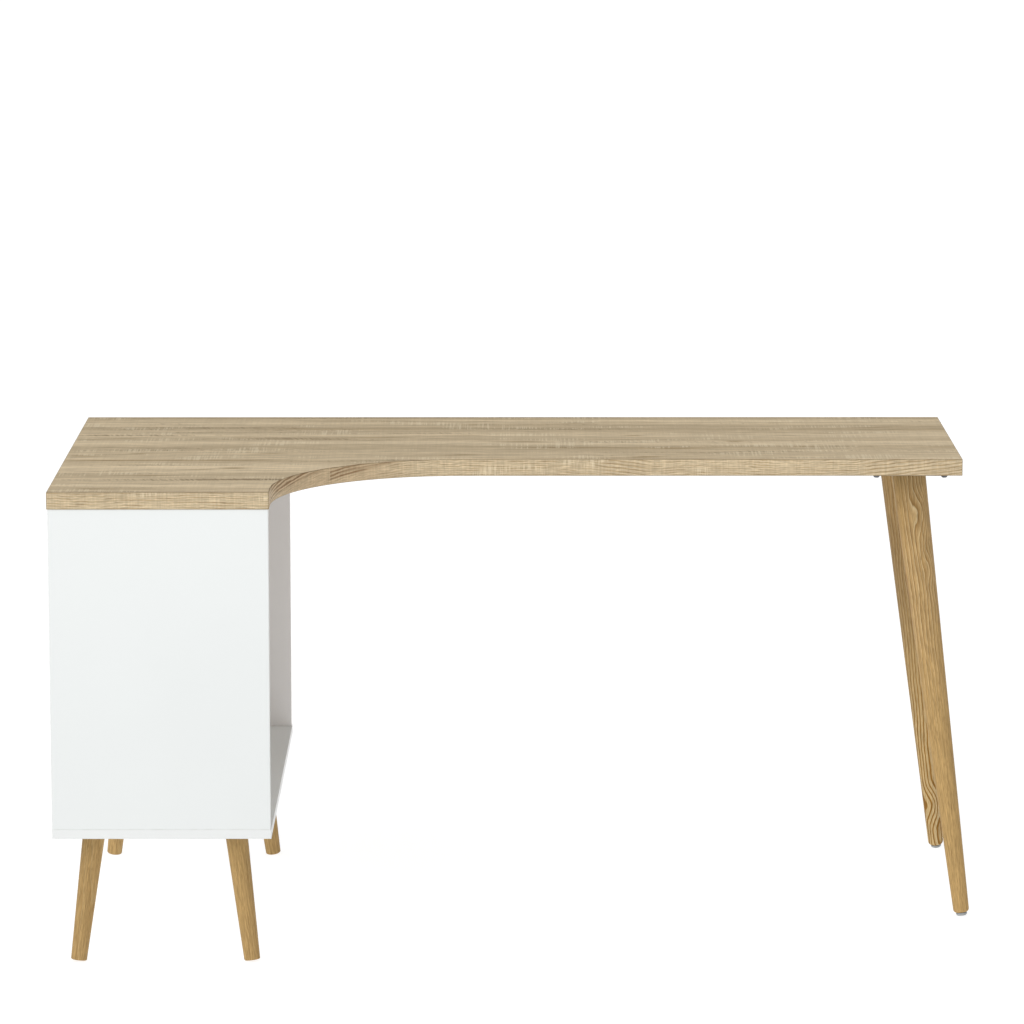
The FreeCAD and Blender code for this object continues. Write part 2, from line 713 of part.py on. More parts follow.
def pedestal_legs():
    corners = {
        "front_left": FRONT_LEFT,
        "front_right": FRONT_RIGHT,
        "rear_left": REAR_LEFT,
        "rear_right": REAR_RIGHT,
    }
    foot = end_height("Dims.ShortLegEndRadius", "Dims.ShortLegEase")
    length = f"((Dims.FootHeight - {foot}) / cos({TILT}))"
    hangers, screws = [], []
    for where, corner in corners.items():
        centre = leg_centre(corner)
        leg(
            f"pedestal_leg_{where}", corner, centre, "Dims.FootHeight", "Short", length,
            "Dims.ShortHangerLength",
        )
        leg_plate(
            f"pedestal_leg_plate_{where}", corner, centre, "Dims.FootHeight", "Short",
            "Dims.ShortScrewSpacing", "Dims.ScrewDiameter",
        )
        hangers.append((*centre, "Dims.FootHeight", leaning(corner)))
        under_plate = "Dims.FootHeight - Dims.ShortPlateThickness"
        screws += [(x, y, under_plate, None) for x, y in plate_corners(centre, "Dims.ShortScrewSpacing")]
    group("pedestal_hanger_bolts", hanger_bolt("short_hanger_bolt", "Dims.ShortHangerLength"), hangers)
    wood_screw = screw(
        "plate_screw", "Dims.ScrewDiameter", "Dims.ScrewLength",
        "Dims.ScrewHead", "Dims.ScrewHeadHeight", rounding="1", recess="Dims.ScrewRecess",
    )
    group("pedestal_plate_screws", wood_screw, screws)


def tall_legs():
    glide_height = "(Dims.GlideRim + Dims.GlideDome)"
    foot = end_height("Dims.GlideRadius", "Dims.GlideDome")
    length = f"(({UNDERSIDE} - {foot}) / cos({TILT}) - {glide_height} - Dims.GlideGap)"
    hangers, bolts, inserts, sockets = [], [], [], []
    for where, corner in (("front", FRONT_RIGHT), ("rear", REAR_RIGHT)):
        centre = leg_centre(corner, tall=True)
        leg(
            f"tall_leg_{where}", corner, centre, UNDERSIDE, "Tall", length,
            "Dims.TallHangerLength", "Dims.GlideSocketDepth",
        )
        leg_plate(
            f"tall_leg_plate_{where}", corner, centre, UNDERSIDE, "Tall",
            "Dims.TallBoltSpacing", "Dims.BoltDiameter",
        )
        top = f"-({length} + Dims.GlideGap)"
        stem, rim, sole = "Dims.GlideStem / 2", "Dims.GlideRadius", f"{top} - {glide_height}"
        glide = turned(
            f"glide_{where}",
            [
                ("0", sole),
                (rim, sole),
                (rim, top),
                (stem, top),
                (stem, f"{top} + Dims.GlideStemLength - 1"),
                (f"{stem} - 1", f"{top} + Dims.GlideStemLength"),
                ("0", f"{top} + Dims.GlideStemLength"),
            ],
            [(rim, sole, "Dims.GlideDome")],
        )
        keep(place(glide, *centre, UNDERSIDE, leaning(corner)), f"glide_{where}")
        hangers.append((*centre, UNDERSIDE, leaning(corner)))
        sockets.append((*centre, UNDERSIDE, leaning(corner)))
        spots = plate_corners(centre, "Dims.TallBoltSpacing")
        bolts += [(x, y, f"{UNDERSIDE} - Dims.TallPlateThickness", None) for x, y in spots]
        inserts += [(x, y, UNDERSIDE, None) for x, y in spots]
    group("tall_hanger_bolts", hanger_bolt("tall_hanger_bolt", "Dims.TallHangerLength"), hangers)
    bolt = screw(
        "plate_bolt", "Dims.BoltDiameter", "Dims.BoltLength",
        "Dims.BoltHead", "Dims.BoltHeadHeight", rounding="3", recess="Dims.BoltRecess",
    )
    group("tall_leg_plate_bolts", bolt, bolts)
    insert = tube(
        "worktop_insert", "Dims.BoltDiameter / 2", "Dims.InsertDiameter / 2", "0", "Dims.InsertLength"
    )
    group("worktop_inserts", insert, inserts)
    low = f"(Dims.GlideInsertRecess - {length})"
    socket = tube(
        "glide_insert", "Dims.GlideStem / 2 + Dims.GlideClearance", "Dims.GlideSocket / 2",
        low, f"{low} + Dims.GlideInsertLength",
    )
    group("glide_inserts", socket, sockets)


def check_document():
    """Stops with a message if any object failed or any piece has no sound shape."""
    for thing in doc.Objects:
        if {"Invalid", "Error"} & set(thing.State):
            raise RuntimeError(f"{thing.Label} failed: {thing.State}")
    for piece in pieces:
        if piece.Shape.isNull() or not piece.Shape.isValid():
            raise RuntimeError(f"{piece.Label} has no valid shape")


def main():
    fill_sheet()
    desktop_board()
    desktop_edge_band()
    inner_front = "(Dims.PedestalSetback + Dims.BoardThickness)"
    end_panel("front_end_panel", inner_front, -1)
    end_panel("rear_end_panel", f"(Dims.Depth - {inner_front})", 1)
    bottom_board()
    pedestal_back_panel()
    pedestal_fittings()
    pedestal_legs()
    tall_legs()
    doc.recompute()
    check_document()
    os.makedirs("parts", exist_ok=True)
    for piece in pieces:
        piece.Shape.exportStep(f"parts/{piece.Label}.step")
        print(f"{piece.Label}: {len(piece.Shape.Solids)} solids, {piece.Shape.Volume / 1000:.1f} cm3")


main()
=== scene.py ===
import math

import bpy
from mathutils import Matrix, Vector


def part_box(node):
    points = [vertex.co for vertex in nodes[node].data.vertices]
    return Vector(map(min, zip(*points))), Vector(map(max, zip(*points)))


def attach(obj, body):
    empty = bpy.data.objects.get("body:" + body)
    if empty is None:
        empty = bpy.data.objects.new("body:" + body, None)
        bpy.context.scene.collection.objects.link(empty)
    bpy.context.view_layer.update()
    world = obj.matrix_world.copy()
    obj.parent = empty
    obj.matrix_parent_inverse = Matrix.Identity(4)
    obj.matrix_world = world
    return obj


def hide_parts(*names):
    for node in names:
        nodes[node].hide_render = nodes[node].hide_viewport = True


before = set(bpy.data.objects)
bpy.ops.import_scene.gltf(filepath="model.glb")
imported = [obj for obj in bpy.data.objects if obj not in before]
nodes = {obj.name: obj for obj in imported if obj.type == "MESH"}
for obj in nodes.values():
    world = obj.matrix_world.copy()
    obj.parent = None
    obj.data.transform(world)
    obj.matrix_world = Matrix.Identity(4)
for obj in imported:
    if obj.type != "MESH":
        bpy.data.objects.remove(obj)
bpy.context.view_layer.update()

# Looks for the corner desk. Metres, in the CAD model's own frame: the floor is Z = 0 and the
# desk's front faces -Y. Boards, plates and fittings are the CAD nodes with better materials. The
# edge band and the six turned legs are built here, so that their grain follows their shape.


# ---- Sizes that repeat the CAD model's ----

MM = 0.001
WORKTOP_THICKNESS = 27 * MM
RETURN_WIDTH = 345 * MM
WING_DEPTH = 475 * MM
CUTOUT_RADIUS = 300 * MM
BAND = 1 * MM
BAND_EASE = 0.8 * MM
LEAN = math.radians(10)

LEG_SIZES = {
    "pedestal": dict(top=17.65 * MM, foot=12.6 * MM, ease=2 * MM, seat=5.6 * MM, bolt=42 * MM, socket=0),
    "tall": dict(top=27.8 * MM, foot=12.8 * MM, ease=6 * MM, seat=8.2 * MM, bolt=60 * MM, socket=36 * MM),
}
HANGER_RADIUS = 4 * MM
HANGER_START = 1.5 * MM
SOCKET_RADIUS = 6 * MM
GLIDE_RADIUS = 9 * MM
GLIDE_DOME = 4 * MM
GLIDE_HEIGHT = 5 * MM
GLIDE_GAP = 0.3 * MM


# ---- Node materials ----


def rgb(red, green, blue):
    """A colour from 0 to 255 a channel, as linear values."""
    def linear(value):
        part = value / 255
        return part / 12.92 if part <= 0.04045 else ((part + 0.055) / 1.055) ** 2.4

    return (linear(red), linear(green), linear(blue), 1.0)


class Nodes:
    """Builds one node tree. Each method adds a node and returns its output."""

    def __init__(self, tree):
        self.tree = tree

    def put(self, socket, value):
        if isinstance(value, bpy.types.NodeSocket):
            self.tree.links.new(value, socket)
        elif value is not None:
            socket.default_value = value

    def node(self, kind, *values, **settings):
        made = self.tree.nodes.new(kind)
        for key, value in settings.items():
            setattr(made, key, value)
        for socket, value in zip(made.inputs, values):
            self.put(socket, value)
        return made

    def position(self):
        return self.node("ShaderNodeTexCoord").outputs["Object"]

    def attribute(self, name):
        return self.node("ShaderNodeAttribute", attribute_name=name).outputs["Vector"]

    def split(self, vector):
        return self.node("ShaderNodeSeparateXYZ", vector).outputs

    def join(self, x, y, z):
        return self.node("ShaderNodeCombineXYZ", x, y, z).outputs[0]

    def math(self, operation, first, second=None, third=None):
        return self.node("ShaderNodeMath", first, second, third, operation=operation).outputs[0]

    def scaled(self, vector, size, shift=(0, 0, 0)):
        made = self.node("ShaderNodeMapping", vector)
        made.inputs["Location"].default_value = shift
        made.inputs["Scale"].default_value = size
        return made.outputs[0]

    def noise(self, vector, size, shift=(0, 0, 0), detail=2.0, rough=0.5):
        made = self.node("ShaderNodeTexNoise")
        self.put(made.inputs["Vector"], self.scaled(vector, size, shift))
        self.put(made.inputs["Scale"], 1.0)
        self.put(made.inputs["Detail"], detail)
        self.put(made.inputs["Roughness"], rough)
        return made.outputs[0]

    def cells(self, vector, size):
        made = self.node("ShaderNodeTexVoronoi")
        self.put(made.inputs["Vector"], self.scaled(vector, size))
        self.put(made.inputs["Scale"], 1.0)
        return made.outputs["Distance"]

    def remap(self, value, low, high, to_low=0.0, to_high=1.0, smooth=True):
        made = self.node("ShaderNodeMapRange")
        made.interpolation_type = "SMOOTHSTEP" if smooth else "LINEAR"
        for name, setting in (
            ("Value", value), ("From Min", low), ("From Max", high), ("To Min", to_low), ("To Max", to_high)
        ):
            self.put(made.inputs[name], setting)
        return made.outputs[0]

    def mix(self, share, first, second):
        made = self.node("ShaderNodeMix", data_type="RGBA")
        for place, value in ((0, share), (6, first), (7, second)):
            self.put(made.inputs[place], value)
        return made.outputs[2]

    def brighten(self, colour, factor):
        """The colour times a number that may change over the surface."""
        made = self.node("ShaderNodeVectorMath", colour, operation="SCALE")
        self.put(made.inputs["Scale"], factor)
        return made.outputs[0]

    def ramp(self, value, *stops):
        made = self.node("ShaderNodeValToRGB", value)
        elements = made.color_ramp.elements
        while len(elements) < len(stops):
            elements.new(0.5)
        for element, (place, colour) in zip(elements, stops):
            element.position = place
            element.color = colour
        return made.outputs[0]

    def bump(self, height, distance, strength=1.0, base=None):
        made = self.node("ShaderNodeBump")
        self.put(made.inputs["Strength"], strength)
        self.put(made.inputs["Distance"], distance)
        self.put(made.inputs["Height"], height)
        self.put(made.inputs["Normal"], base)
        return made.outputs[0]


class Look(Nodes):
    """A node material."""

    def __init__(self, name, roughness=0.5, specular=0.5, metallic=0.0):
        self.material = bpy.data.materials.new(name)
        self.material.use_nodes = True
        super().__init__(self.material.node_tree)
        self.shader = self.tree.nodes["Principled BSDF"]
        self.put(self.shader.inputs["Roughness"], roughness)
        self.put(self.shader.inputs["Specular IOR Level"], specular)
        self.put(self.shader.inputs["Metallic"], metallic)

    def finish(self, colour, roughness, normal):
        self.put(self.shader.inputs["Base Color"], colour)
        self.put(self.shader.inputs["Roughness"], roughness)
        self.put(self.shader.inputs["Normal"], normal)
        return self.material


def saw_marks(look, grain, colour, depth, share, tallness):
    """The saw's marks across the print: faint everywhere, and pale ticks in patches."""
    saw = look.noise(grain, (330, tallness, 1), (0, 5, 0), detail=2.0, rough=0.6)
    colour = look.brighten(colour, look.remap(saw, 0.3, 0.7, 1 - depth, 1 + depth, smooth=False))
    patch = look.remap(look.noise(grain, (6, 24, 1), (6, 0, 0), detail=2.0), 0.56, 0.61)
    ticks = look.math("MULTIPLY", look.remap(saw, 0.48, 0.60), patch)
    return look.mix(look.math("MULTIPLY", ticks, share), colour, rgb(238, 224, 194))


def worktop_laminate():
    """A sawn-oak print on the top of the board, and a plain pale backing sheet underneath."""
    look = Look("worktop_laminate", specular=0.1)
    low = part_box("desktop_board")[0]
    grain = look.position()
    along, across, height = look.split(grain)
    drift = look.noise(grain, (1.1, 4, 1), (3, 1, 0), detail=2.0)
    across = look.math("MULTIPLY_ADD", look.math("SUBTRACT", drift, 0.5), 0.03, across)
    flow = look.join(along, across, height)
    # Soft boards of tone that run the whole length, with shorter ones over them.
    board = look.noise(flow, (0.05, 16, 1), (4, 8, 0), detail=2.0, rough=0.6)
    board = look.remap(board, 0.31, 0.64, 0.0, 1.0, smooth=False)
    broad = look.noise(flow, (1.3, 12, 1), (5, 2, 0), detail=2.0, rough=0.6)
    board = look.math("MULTIPLY_ADD", look.math("SUBTRACT", broad, 0.5), 0.9, board)
    colour = look.mix(board, rgb(184, 165, 133), rgb(231, 211, 177))
    middle = look.noise(flow, (1.4, 60, 1), (1, 6, 0), detail=3.0, rough=0.7)
    colour = look.brighten(colour, look.remap(middle, 0.32, 0.68, 0.88, 1.09, smooth=False))
    # Long dark growth lines, thin where the tone changes fast: level lines of a smooth field.
    field = look.noise(flow, (0.5, 13, 1), (1, 7, 0), detail=2.0, rough=0.45)
    place = look.math("FRACT", look.math("MULTIPLY", field, 13.0))
    levels = look.math("ABSOLUTE", look.math("SUBTRACT", place, 0.5))
    fade = look.remap(look.noise(flow, (1.6, 24, 1), (9, 4, 0)), 0.42, 0.64)
    line = look.math("MULTIPLY", look.remap(levels, 0.12, 0.0), fade)
    colour = look.mix(look.math("MULTIPLY", line, 0.8), colour, rgb(160, 136, 100))
    # Dark heart streaks, some millimetres wide, feathered by slanting strokes.
    slant = look.join(look.math("MULTIPLY_ADD", across, 0.3, along), across, height)
    stroke = look.noise(slant, (190, 14, 1), (3, 3, 0), detail=1.0)
    streak = look.noise(flow, (1.0, 30, 1), (2, 3, 0), detail=3.0, rough=0.65)
    streak = look.math("MULTIPLY_ADD", look.math("SUBTRACT", stroke, 0.5), 0.16, streak)
    streak = look.remap(streak, 0.60, 0.72)
    colour = look.mix(look.math("MULTIPLY", streak, 0.8), colour, rgb(140, 121, 93))
    # Fibres along the grain.
    fibre = look.noise(flow, (8, 300, 1), detail=2.0, rough=0.7)
    short = look.noise(flow, (26, 270, 1), (8, 8, 0), detail=2.0, rough=0.6)
    fibres = look.math("MULTIPLY_ADD", fibre, 0.45, look.math("MULTIPLY", short, 0.55))
    colour = look.brighten(colour, look.remap(fibres, 0.36, 0.64, 0.80, 1.15, smooth=False))
    colour = saw_marks(look, grain, colour, 0.035, 0.42, 7)
    backing = look.remap(height, low.z + 0.1 * MM, low.z + 0.3 * MM, 1.0, 0.0)
    colour = look.mix(backing, colour, look.mix(broad, rgb(230, 222, 214), rgb(222, 214, 205)))
    relief = look.math("SUBTRACT", fibres, look.math("MULTIPLY", line, 0.8))
    roughness = look.remap(relief, 0.1, 0.8, 0.78, 0.66, smooth=False)
    return look.finish(colour, roughness, look.bump(relief, 0.00008, 0.6))


# Stretches of the edge band where the growth lines slant: where each starts and ends along the
# band, and its slope. STROKES are the heavy ones round the cut-out. Their last number is how far
# above the underside they begin.
STROKES = ((0.366, 0.600, 0.115, -0.004), (0.613, 0.760, 0.13, 0.007))
SLANTS = (
    (1.055, 1.150, -0.14), (1.480, 1.700, 0.12), (1.900, 2.050, -0.12),
    (2.550, 2.700, 0.12), (3.150, 3.300, -0.10), (3.850, 4.050, 0.12),
)


def worktop_edge():
    """The edge band's print: fine wavy growth lines a few millimetres apart, slanting in places
    and broken up by short fibres. Round the cut-out the band is browner."""
    look = Look("worktop_edge", specular=0.15)
    grain = look.attribute("grain")
    along, across, corner = look.split(grain)
    level, slanted, heavy = across, 0.0, 0.0
    for start, end, slope in SLANTS:
        drop = look.remap(along, start, end, 0.0, slope * (start - end), smooth=False)
        level = look.math("ADD", level, drop)
        begun, ended = look.remap(along, start, start + 0.03), look.remap(along, end - 0.02, end + 0.02)
        slanted = look.math("MAXIMUM", slanted, look.math("SUBTRACT", begun, ended))
    for start, end, slope, bottom in STROKES:
        drop = look.remap(along, start, end, 0.0, slope * (start - end), smooth=False)
        level = look.math("ADD", level, drop)
        begun, ended = look.remap(along, start, start + 0.002), look.remap(along, end - 0.03, end + 0.01)
        inside = look.math("SUBTRACT", begun, ended)
        above = look.remap(look.math("ADD", across, drop), bottom - 0.001, bottom + 0.002)
        heavy = look.math("MAXIMUM", heavy, look.math("MULTIPLY", inside, above))
    for size, shift, reach in (((7, 22, 1), (3, 1, 0), 0.012), ((50, 170, 1), (0, 6, 0), 0.0030)):
        bend = look.math("SUBTRACT", look.noise(grain, size, shift, detail=2.0), 0.5)
        level = look.math("MULTIPLY_ADD", bend, reach, level)
    flow = look.join(along, level, corner)

    def lines(spacing, width):
        place = look.math("FRACT", look.math("DIVIDE", level, spacing))
        return look.remap(look.math("ABSOLUTE", look.math("SUBTRACT", place, 0.5)), width, width * 0.15)

    brown = look.math("MULTIPLY", look.remap(along, 0.345, 0.35), look.remap(along, 0.79, 0.67))
    drawn = look.remap(look.noise(flow, (20, 190, 1), (9, 4, 0), detail=2.0), 0.40, 0.58, 0.3, 1.0)
    drawn = look.math("MULTIPLY", drawn, look.remap(brown, 0.0, 1.0, 1.0, 0.4))
    drawn = look.math("MULTIPLY", drawn, look.remap(slanted, 0.0, 1.0, 1.0, 0.5))
    # The lines are wider apart where they slant.
    wide = look.math("MULTIPLY", lines(0.0057, 0.30), slanted)
    line = look.math("MAXIMUM", look.math("MULTIPLY", lines(0.0038, 0.30), drawn), wide)
    colour = look.mix(brown, rgb(209, 190, 157), rgb(207, 184, 149))
    tone = look.noise(flow, (4, 60, 1), (5, 2, 0), detail=2.0)
    colour = look.brighten(colour, look.remap(tone, 0.3, 0.7, 0.93, 1.06, smooth=False))
    drawn_in = look.mix(brown, rgb(166, 140, 103), rgb(160, 128, 92))
    colour = look.mix(look.math("MULTIPLY", line, 0.8), colour, drawn_in)
    uneven = look.remap(look.noise(flow, (9, 120, 1), (2, 9, 0)), 0.35, 0.55, 0.45, 1.0)
    stroke = look.math("MULTIPLY", look.math("MULTIPLY", lines(0.0058, 0.44), heavy), uneven)
    colour = look.mix(look.math("MULTIPLY", stroke, 0.9), colour, rgb(137, 105, 72))
    short = look.noise(flow, (48, 560, 1), (8, 8, 0), detail=2.0, rough=0.65)
    fine = look.noise(flow, (90, 1300, 1), (4, 4, 0), detail=1.0)
    fibres = look.math("MULTIPLY_ADD", fine, 0.25, look.math("MULTIPLY", short, 0.75))
    colour = look.brighten(colour, look.remap(fibres, 0.34, 0.66, 0.76, 1.23, smooth=False))
    colour = saw_marks(look, grain, colour, 0.09, 0.4, 22)
    # Painted shade on the milled arrises and at the band's outside corners, where the eased edge turns away
    # from the light, over their darker glue lines: a little darker than the face.
    upper = look.remap(across, WORKTOP_THICKNESS - 1.5 * MM, WORKTOP_THICKNESS - 0.5 * MM)
    lower = look.remap(across, 1.4 * MM, 0.6 * MM)
    arris = look.math("MAXIMUM", look.math("MAXIMUM", upper, lower), corner)
    colour = look.mix(look.math("MULTIPLY", arris, 0.6), colour, rgb(132, 112, 82))
    relief = look.math("SUBTRACT", fibres, look.math("MULTIPLY", line, 0.5))
    roughness = look.remap(relief, 0.1, 0.8, 0.66, 0.54, smooth=False)
    return look.finish(colour, roughness, look.bump(relief, 0.00008, 0.6))


# The leg timber, in block coordinates: X and Y across it, Z along it. Each knot has a place, a
# radius and how far it pushes the rings.
RING_SPACING = 5.4 * MM
PITH = (0.036, -0.012, 0.0)
KNOTS = (
    ((0.013, -0.022, -0.075), 0.011, 0.012),
    ((0.017, -0.019, -0.165), 0.008, 0.008),
    ((0.003, -0.006, 1.045), 0.010, 0.012),
)


def leg_wood(name, start, figure, boldness=0.0, shade=0.0):
    """Clear-lacquered hardwood: growth rings round a pith beside the leg, knots, pores and fibres.
    start is the Z of the leg's top in its block. figure is how strong the rings are at the top and
    near the foot, boldness adds dark brown lines towards the foot, and shade is painted shadow that
    darkens the top, where the worktop shades the leg."""
    look = Look(name, specular=0.05)
    block = look.attribute("block")
    lower = look.remap(look.split(block)[2], start - 0.15, start - 0.55)
    from_pith = look.node("ShaderNodeVectorMath", block, PITH, operation="SUBTRACT").outputs[0]
    from_pith = look.scaled(from_pith, (1, 1, 0))
    radius = look.node("ShaderNodeVectorMath", from_pith, operation="LENGTH").outputs["Value"]
    for size, shift, reach in (
        ((6, 6, 1.6), (1, 0, 0), 0.05), ((34, 34, 8), (0, 4, 0), 0.009), ((130, 130, 42), (5, 5, 5), 0.0022),
    ):
        bend = look.math("SUBTRACT", look.noise(block, size, shift, detail=1.0), 0.5)
        radius = look.math("MULTIPLY_ADD", bend, reach, radius)
    for place, size, swell in KNOTS:
        offset = look.node("ShaderNodeVectorMath", block, place, operation="SUBTRACT").outputs[0]
        offset = look.scaled(offset, (1 / size, 1 / size, 0.45 / size))
        away = look.node("ShaderNodeVectorMath", offset, operation="LENGTH").outputs["Value"]
        radius = look.math("MULTIPLY_ADD", look.remap(away, 0.0, 2.2, 1.0, 0.0), swell, radius)
    ring = look.math("FRACT", look.math("DIVIDE", radius, RING_SPACING))
    colour = look.ramp(
        ring,
        (0.0, rgb(214, 190, 146)), (0.16, rgb(192, 161, 113)), (0.60, rgb(183, 150, 102)),
        (0.84, rgb(160, 127, 80)), (0.92, rgb(154, 120, 74)), (1.0, rgb(208, 183, 138)),
    )
    # Rings are strong in places and fade in others.
    strength = look.remap(look.noise(block, (34, 34, 4.0), (3, 3, 0), detail=1.0), 0.36, 0.58, 0.25, 1.0)
    strength = look.math("MULTIPLY", strength, look.remap(lower, 0.0, 1.0, *figure))
    colour = look.mix(strength, rgb(186, 153, 101), colour)
    colour = look.mix(look.math("MULTIPLY", lower, 0.45 * boldness), colour, rgb(212, 190, 144))
    bold = look.remap(look.math("ABSOLUTE", look.math("SUBTRACT", ring, 0.74)), 0.25, 0.10)
    bold = look.math("MULTIPLY", look.math("MULTIPLY", bold, lower), boldness)
    colour = look.mix(bold, colour, rgb(146, 104, 44))
    tone = look.noise(block, (22, 22, 3), (7, 0, 2), detail=2.0)
    colour = look.brighten(colour, look.remap(tone, 0.3, 0.7, 0.96, 1.04, smooth=False))
    fibre = look.noise(block, (640, 640, 32), detail=2.0, rough=0.7)
    colour = look.brighten(colour, look.remap(fibre, 0.3, 0.7, 0.74, 1.25, smooth=False))
    pore = look.remap(look.noise(block, (1100, 1100, 70), (2, 2, 2), detail=1.0), 0.58, 0.68)
    colour = look.mix(look.math("MULTIPLY", pore, 0.4), colour, rgb(122, 92, 56))
    # Painted shadow: shade darkens the top of the leg, where the worktop shades it; where the whole block
    # lies above start, it darkens the whole leg.
    upper = look.math("SUBTRACT", 1.0, lower)
    colour = look.mix(look.math("MULTIPLY", upper, shade), colour, rgb(112, 92, 64))
    height = look.math("SUBTRACT", fibre, pore)
    roughness = look.remap(fibre, 0.3, 0.7, 0.46, 0.56, smooth=False)
    return look.finish(colour, roughness, look.bump(height, 0.00006, 0.5))


def near_edge(look, node, reach):
    """1 at the outer edges of a board and 0 further in than reach. Two faces meet at an edge, so
    it is the second nearest face that counts."""
    low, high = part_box(node)
    gaps = []
    for axis, value in enumerate(look.split(look.position())[:3]):
        middle, half = (low[axis] + high[axis]) / 2, (high[axis] - low[axis]) / 2
        away = look.math("ABSOLUTE", look.math("SUBTRACT", value, middle))
        gaps.append(look.math("SUBTRACT", half, away))
    a, b, c = gaps
    second = look.math(
        "MAXIMUM",
        look.math("MINIMUM", a, b),
        look.math("MINIMUM", look.math("MAXIMUM", a, b), c),
    )
    return look.remap(second, 0.0, reach, 1.0, 0.0)


def white_board(node, tint_and_painted_shade, foot=1.0):
    """White melamine: a fine pearl texture, a faint unevenness, and edges that catch a little dirt.
    foot is painted light and shade, standing in for how light falls on the board: how light it is
    at its lower edge, against 1 at its upper edge."""
    look = Look(f"white_board_{node}", specular=0.35)
    place = look.position()
    cloud = look.noise(place, (4, 4, 4), detail=3.0)
    speck = look.noise(place, (900, 900, 900), detail=2.0)
    colour = look.brighten(tint_and_painted_shade[:3], look.remap(cloud, 0.3, 0.7, 1.0, 0.985))
    # Painted light and shade: the board grows lighter or darker towards its lower edge, by foot.
    low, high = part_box(node)
    height = look.split(place)[2]
    colour = look.brighten(colour, look.remap(height, low.z, high.z, foot, 1.0, smooth=False))
    worn = look.math(
        "MULTIPLY",
        near_edge(look, node, 0.0016),
        look.remap(look.noise(place, (60, 60, 60), detail=3.0), 0.35, 0.65, 0.35, 1.0),
    )
    colour = look.mix(look.math("MULTIPLY", worn, 0.35), colour, rgb(205, 205, 200))
    roughness = look.remap(cloud, 0.3, 0.7, 0.34, 0.44, smooth=False)
    pearl = look.bump(speck, 0.00004, 0.35)
    return look.finish(colour, roughness, look.bump(cloud, 0.0004, 0.15, pearl))


def powder_coat():
    """Black powder coat: a fine orange peel that breaks up the shine."""
    look = Look("plate_steel", specular=0.5)
    place = look.position()
    grit = look.cells(place, (1400, 1400, 1400))
    cloud = look.noise(place, (40, 40, 40), detail=3.0)
    colour = look.mix(look.remap(cloud, 0.3, 0.7), rgb(44, 44, 46), rgb(56, 56, 58))
    roughness = look.remap(grit, 0.1, 0.8, 0.5, 0.66, smooth=False)
    return look.finish(colour, roughness, look.bump(grit, 0.00005, 0.5))


def plated_steel(name, bright, dull, roughness=(0.28, 0.42)):
    """Plated or cast metal with a cloudy finish and fine scratches."""
    look = Look(name, metallic=1.0)
    place = look.position()
    cloud = look.noise(place, (180, 180, 180), detail=4.0, rough=0.6)
    scratch = look.noise(place, (900, 900, 4000), detail=2.0)
    colour = look.mix(look.remap(cloud, 0.35, 0.65), bright, dull)
    shine = look.math("ADD", cloud, look.math("MULTIPLY", scratch, 0.5))
    return look.finish(
        colour, look.remap(shine, 0.5, 1.0, *roughness, smooth=False), look.bump(scratch, 0.00003, 0.4)
    )


def moulded_plastic(name, colour, darker, roughness=(0.42, 0.55)):
    """Moulded plastic with a spark-eroded texture."""
    look = Look(name, specular=0.4)
    place = look.position()
    spark = look.noise(place, (1200, 1200, 1200), detail=2.0)
    cloud = look.noise(place, (90, 90, 90), detail=3.0)
    shade = look.mix(look.remap(cloud, 0.35, 0.65), colour, darker)
    return look.finish(
        shade, look.remap(cloud, 0.3, 0.7, *roughness, smooth=False), look.bump(spark, 0.00004, 0.5)
    )


def beech():
    """Raw beech, for the dowels, with its short dark flecks."""
    look = Look("dowel_wood", specular=0.2)
    place = look.position()
    fleck = look.noise(place, (1400, 1400, 160), detail=2.0)
    tone = look.noise(place, (300, 300, 30), detail=2.0)
    colour = look.mix(look.remap(tone, 0.35, 0.65), rgb(205, 172, 130), rgb(186, 150, 108))
    colour = look.mix(look.remap(fleck, 0.6, 0.7, 0.0, 0.4), colour, rgb(150, 112, 76))
    return look.finish(colour, look.remap(fleck, 0.3, 0.7, 0.6, 0.75), look.bump(fleck, 0.00008, 0.5))


def wear(material, *names):
    """Puts a material on CAD nodes."""
    for name in names:
        for slot in nodes[name].material_slots:
            slot.material = material


# ---- Meshes ----


def piece(name, points, faces, material, body, corner_values, value_name, smooth_up_to=30):
    """A mesh that rides on a body. corner_values holds a vector for each corner of each face, which
    the material reads under value_name."""
    mesh = bpy.data.meshes.new(name)
    mesh.from_pydata(points, [], faces)
    values = mesh.attributes.new(value_name, "FLOAT_VECTOR", "CORNER")
    values.data.foreach_set("vector", [part for value in corner_values for part in value])
    mesh.polygons.foreach_set("use_smooth", [True] * len(mesh.polygons))
    mesh.set_sharp_from_angle(angle=math.radians(smooth_up_to))
    mesh.materials.append(material)
    mesh.update()
    made = bpy.data.objects.new(name, mesh)
    bpy.context.scene.collection.objects.link(made)
    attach(made, body)
    return made


def quarter(centre_out, centre_up, radius, start, steps=5):
    """Points on a quarter circle, anticlockwise from the angle start, in degrees."""
    angles = [math.radians(start + 90 * i / steps) for i in range(steps + 1)]
    return [(centre_out + radius * math.cos(a), centre_up + radius * math.sin(a)) for a in angles]


